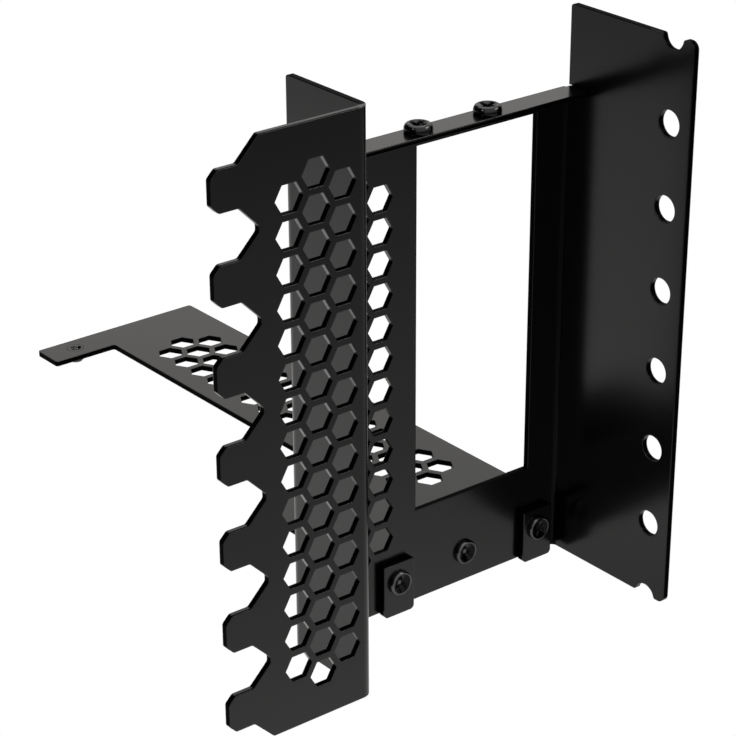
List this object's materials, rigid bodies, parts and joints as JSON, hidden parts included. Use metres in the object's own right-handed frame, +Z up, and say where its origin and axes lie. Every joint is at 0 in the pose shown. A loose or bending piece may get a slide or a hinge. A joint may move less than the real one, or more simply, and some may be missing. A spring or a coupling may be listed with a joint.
{
  "type": "vertical gpu bracket",
  "caption": "Folded sheet steel bracket that holds a graphics card upright in a computer case, with a honeycomb slot panel, a card window and a riser card shelf.",
  "frame": {"origin": "under the middle of the bounding box, on the level of the two clamp plates' lower ends", "axes": "+X to the right along the slot panel, from the tongues to the case plate; +Y back, along the riser shelf; +Z up, along the row of slots"},
  "size_m": [0.123, 0.1992, 0.1425],
  "materials": {
    "black_powder_coat": "satin black powder coat on sheet steel",
    "black_screw": "glossy black plated steel",
    "plated_steel": "plain zinc plated steel"
  },
  "bodies": {
    "root": {"folded_bracket": "black_powder_coat", "riser_shelf": "black_powder_coat", "clamp_plate_left": "black_powder_coat", "clamp_plate_right": "black_powder_coat", "tab_screws": "black_screw", "clamp_screws": "black_screw", "centre_screw": "black_screw", "press_nuts": "plated_steel", "riser_bushes": "black_powder_coat"}
  },
  "joints": []
}
